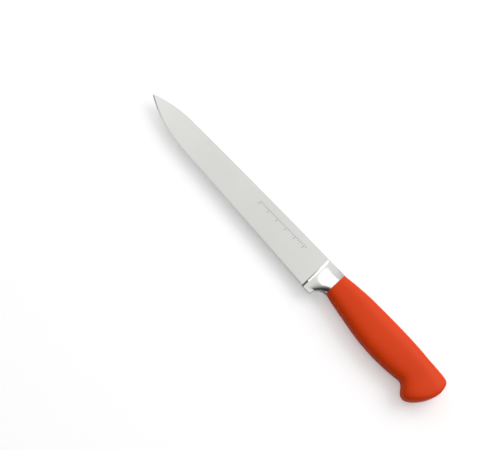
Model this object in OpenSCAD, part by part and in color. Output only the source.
// Carving knife: ground blade with a hidden tang, flared bolster with a finger notch,
// and a hooked two-shot handle. It lies on its side: X runs from the tip to the butt,
// Y from the cutting edge to the spine, Z through the thickness. The origin is the
// centre of the neck, where the bolster meets the handle.

/* [Blade] */
// Length of the blade in front of the bolster
blade_len = 202; // [160:1:250]
// Height of the blade at the heel
heel_h = 30; // [26:0.5:34]
// Height of the cutting edge's rise from the heel to where it curves to the tip
edge_rise = 7.8; // [4:0.2:11]
// Height of the spine above the tip
tip_drop = 7; // [4:0.5:10]
// Length over which the spine drops to the tip
drop_len = 40; // [25:1:60]
// Length over which the cutting edge curves up to the tip
belly_len = 60; // [40:1:80]
// Crown of the spine, halfway along
spine_crown = 0.6; // [0:0.1:1.5]
// Thickness of the blade at the heel, on the spine
spine_t = 2.3; // [1.8:0.1:3]
// Thickness behind the bevel at the heel
edge_t = 0.5; // [0.3:0.05:0.8]
// Thickness at the tip
tip_t = 0.9; // [0.7:0.05:1.2]
// Height of the ground bevel along the cutting edge
bevel_h = 0.9; // [0.5:0.1:2]

/* [Tang] */
// Length of the tang behind the bolster
tang_len = 82; // [60:1:90]
// Height of the tang
tang_h = 13; // [9:0.5:15]
// Thickness of the tang
tang_t = 2.2; // [1.6:0.1:3]
// Thickness of the tang's root, where it passes through the bolster's nose
root_t = 1; // [0.8:0.1:1.2]
// Diameter of the tang's locking holes
lock_d = 5; // [3:0.5:7]
// Number of locking holes
lock_n = 3; // [1:1:4]
// Distance between locking holes
lock_pitch = 22; // [18:1:24]

/* [Bolster] */
// Length of the bolster
bolster_len = 18.2; // [15:0.2:22]
// Length of the bolster's front chamfer
nose_len = 1.8; // [1:0.1:3]
// Thickness of the bolster behind its front chamfer
nose_t = 3; // [2.6:0.1:3.6]
// Radius of the finger notch
notch_r = 9.3; // [6:0.1:9.6]

/* [Handle] */
// Height of the neck, where the bolster meets the handle
neck_h = 20.4; // [18:0.2:22]
// Thickness of the neck
neck_t = 16.2; // [13:0.2:18]
// Thickness of the handle at its belly
belly_t = 19; // [17:0.2:22]
// Thickness of the butt
butt_t = 19.6; // [17:0.2:22]
// Depth of the belly under the neck's lower side
belly_drop = 8.4; // [6:0.2:10]
// Length of the handle
handle_len = 113; // [108:1:125]
// Thickness of the soft skin over the handle's core
skin = 2; // [1.2:0.1:2.6]

/* [Hidden] */

// Places along the knife
neck_y = neck_h / 2;
spine_y = neck_y + 0.6;
heel_y = spine_y - heel_h;
heel_x = -bolster_len;
tip_x = heel_x - blade_len;
tip_y = spine_y - tip_drop;
tip_h = 0.6;
hair = 0.04;

// Slopes of the blade's flat sides, which taper to the edge and to the tip
taper_y = (spine_t - edge_t) / 2 / heel_h;
taper_x = (spine_t - tip_t - 2 * taper_y * tip_drop) / 2 / blade_len;

// Half thickness of the blade's flat side at a point
function side(x, y) = spine_t / 2 + taper_x * (x - heel_x) + taper_y * (y - spine_y);

// Height of the spine and of the cutting edge at a distance along the blade
function share(x) = (heel_x - x) / blade_len;
function spine_at(x) = let (u = share(x), d = max(0, tip_x + drop_len - x) / drop_len)
    spine_y + spine_crown * 4 * u * (1 - u) - tip_drop * d * d;
edge_line_len = blade_len - belly_len;
function edge_line(x) = heel_y + edge_rise * (heel_x - x) / edge_line_len;
tip_lift = tip_y - tip_h - edge_line(tip_x);
function edge_at(x) = let (d = max(0, tip_x + belly_len - x) / belly_len)
    edge_line(x) + tip_lift * pow(d, 2.6);

// A closed skin over rings of points, each ring with the same count
module skin_rings(rings) {
    n = len(rings);
    m = len(rings[0]);
    sides = [for (i = [0 : n - 2], j = [0 : m - 1]) let (k = (j + 1) % m)
        each [[i * m + j, (i + 1) * m + k, i * m + k], [i * m + j, (i + 1) * m + j, (i + 1) * m + k]]];
    front = [for (j = [0 : m - 1]) j];
    back = [for (j = [m - 1 : -1 : 0]) (n - 1) * m + j];
    polyhedron([for (ring = rings) each ring], concat([front], sides, [back]), convexity = 6);
}

// Ring of the blade: spine, bevel shoulder and edge on each side
function blade_ring(x) = let (s = spine_at(x), e = edge_at(x), b = min(bevel_h, (s - e) / 3))
    [[x, s, side(x, s)], [x, e + b, side(x, e + b)], [x, e, hair],
     [x, e, -hair], [x, e + b, -side(x, e + b)], [x, s, -side(x, s)]];

blade_steps = 44;

root_end = heel_x + 5;
root_h = tang_h - 2;
root_lap = 1;
module tang_outline() {
    difference() {
        union() {
            translate([root_end, -tang_h / 2])
                square([tang_len - root_end - tang_h / 2, tang_h]);
            translate([tang_len - tang_h / 2, 0])
                circle(d = tang_h, $fn = 48);
        }
        for (i = [0 : lock_n - 1])
            translate([tang_len - tang_h / 2 - i * lock_pitch, 0])
                circle(d = lock_d, $fn = 32);
    }
}

// Plate behind the blade, with a thinner root inside the bolster's nose
module tang() {
    translate([0, 0, -tang_t / 2])
        linear_extrude(tang_t)
            tang_outline();
    translate([heel_x, -root_h / 2, -root_t / 2])
        cube([root_end + root_lap - heel_x, root_h, root_t]);
}

module blade() {
    color("gainsboro")
        union() {
            skin_rings([for (i = [0 : blade_steps])
                blade_ring(tip_x + blade_len * pow(i / blade_steps, 1.5))]);
            tang();
        }
}

// Bolster: the blade's section flares into the neck's oval, over a round finger notch
bolster_steps = 6;
notch_steps = 9;
bolster_rows = 18;
oval_power = 2.8;
beard_y = heel_y - 0.2;

function mix(a, b, t) = a + (b - a) * t;
function flare(s) = 0.01 + 0.54 * s + 0.45 * s * s;
// Half width of the flare at a height, from a soft swell at the nose to the neck's oval
function swell(y, s) = let (reach = y > 0 ? mix(spine_y * 1.12, neck_y * 1.02, s) : mix(-beard_y * 1.05, neck_y * 1.02, s),
    r = min(1, abs(y) / reach)) pow(1 - pow(r, oval_power), mix(1.3, 1 / oval_power, s));
function bolster_half(x, y) = let (s = (x - heel_x) / bolster_len, nose = min(1, (x - heel_x) / nose_len),
    base = mix(side(heel_x, y), nose_t / 2, nose)) base + (neck_t / 2 - nose_t / 2) * flare(s) * swell(y, s);
notch_y = -neck_y - notch_r;
function foot_at(x) = x > -notch_r ? max(beard_y, notch_y + sqrt(notch_r * notch_r - x * x)) : beard_y;
function bolster_ring(x) = let (s = (x - heel_x) / bolster_len, top = mix(spine_y, neck_y, s), foot = foot_at(x))
    [for (j = [0 : bolster_rows]) let (y = mix(top, foot, j / bolster_rows)) [x, y, bolster_half(x, y)],
     for (j = [bolster_rows : -1 : 0]) let (y = mix(top, foot, j / bolster_rows)) [x, y, -bolster_half(x, y)]];
nose_x = heel_x + nose_len;
bolster_xs = concat([heel_x],
    [for (i = [0 : bolster_steps]) mix(nose_x, -notch_r, i / bolster_steps)],
    [for (i = [1 : notch_steps]) -notch_r * cos(90 * i / notch_steps)]);

// Slot through the bolster, which the tang and its root fill
module tang_slot() {
    past = 1;
    translate([root_end, -tang_h / 2, -tang_t / 2])
        cube([past - root_end, tang_h, tang_t]);
    translate([heel_x - past, -root_h / 2, -root_t / 2])
        cube([root_end - heel_x + 2 * past, root_h, root_t]);
}

module bolster() {
    color("silver")
        difference() {
            skin_rings([for (x = bolster_xs) bolster_ring(x)]);
            tang_slot();
        }
}

// Handle: ovals between a top rail and a bottom rail, which meet at the butt
function bez(a, b, c, d, t) = a * pow(1 - t, 3) + 3 * b * t * pow(1 - t, 2) + 3 * c * t * t * (1 - t) + d * pow(t, 3);
back = handle_len;
low = -neck_y - belly_drop;
hook_y = low - 6.4;
butt_mid = [back, -2];
top_rail = [
    [[0, neck_y], [10, neck_y + 1.2], [20, neck_y + 2.3], [31, neck_y + 2.4]],
    [[31, neck_y + 2.4], [50, neck_y + 2.6], [back - 42, neck_y + 2.5], [back - 27, neck_y + 1]],
    [[back - 27, neck_y + 1], [back - 18, neck_y + 0.1], [back - 8, neck_y + 0.1], [back - 4, neck_y - 1.2]],
    [[back - 4, neck_y - 1.2], [back - 0.8, neck_y - 2.2], [back, 4], butt_mid]];
bottom_rail = [
    [[0, -neck_y], [8, -neck_y - 2.2], [18, -neck_y - 3.6], [30, low + 2.6]],
    [[30, low + 2.6], [48, low - 0.9], [back - 44, low - 1], [back - 29, low + 1.6]],
    [[back - 29, low + 1.6], [back - 22.4, low + 2.4], [back - 22.6, hook_y + 0.6], [back - 16.5, hook_y]],
    [[back - 16.5, hook_y], [back - 11, hook_y - 0.6], [back - 0.4, -12.5], butt_mid]];
half_rail = [
    [neck_t / 2, neck_t / 2 + 0.2, belly_t / 2 - 0.3, belly_t / 2 - 0.1],
    [belly_t / 2 - 0.1, belly_t / 2 + 0.1, belly_t / 2 - 0.1, belly_t / 2 - 0.3],
    [belly_t / 2 - 0.3, belly_t / 2 - 0.4, butt_t / 2, butt_t / 2]];
rail_steps = [7, 9, 10, 13];
ring_n = 26;

function cap_half(u) = butt_t / 2 * pow(max(0, 1 - pow(u, 2.8)), 1 / 2.8);
function half_at(k, u) = k == 3 ? cap_half(u) : bez(half_rail[k][0], half_rail[k][1], half_rail[k][2], half_rail[k][3], u);
function signed_pow(v, p) = sign(v) * pow(abs(v), p);
// Ring in the plane of a chord from the bottom rail to the top rail, drawn in by an inset
function grip_ring(k, u, inset) = let (
    t = bez(top_rail[k][0], top_rail[k][1], top_rail[k][2], top_rail[k][3], u),
    b = bez(bottom_rail[k][0], bottom_rail[k][1], bottom_rail[k][2], bottom_rail[k][3], u),
    mid = (t + b) / 2,
    half = (t - b) / 2,
    long = norm(half),
    arm = half * (long - inset) / long,
    w = half_at(k, u) - inset)
    [for (j = [0 : ring_n - 1]) let (a = 360 * j / ring_n,
        v = signed_pow(cos(a), 2 / oval_power), z = signed_pow(sin(a), 2 / oval_power))
        [mid[0] + arm[0] * v, mid[1] + arm[1] * v, w * z]];
function grip_rings(inset, last) = [for (k = [0 : 3], i = [(k == 0 ? 0 : 1) : rail_steps[k]])
    if (k < 3 || i / rail_steps[k] <= last) grip_ring(k, i / rail_steps[k], inset)];

// Hard core, moulded round the tang and through its holes
core_end = 0.55;
module core_form() {
    skin_rings(grip_rings(skin, core_end));
}

module handle_core() {
    color("dimgray")
        difference() {
            core_form();
            tang();
        }
}

// Soft skin, moulded over the core
cap_end = 0.985;
module handle_grip() {
    color("orangered")
        difference() {
            skin_rings(grip_rings(0, cap_end));
            core_form();
        }
}

blade();
bolster();
handle_core();
handle_grip();
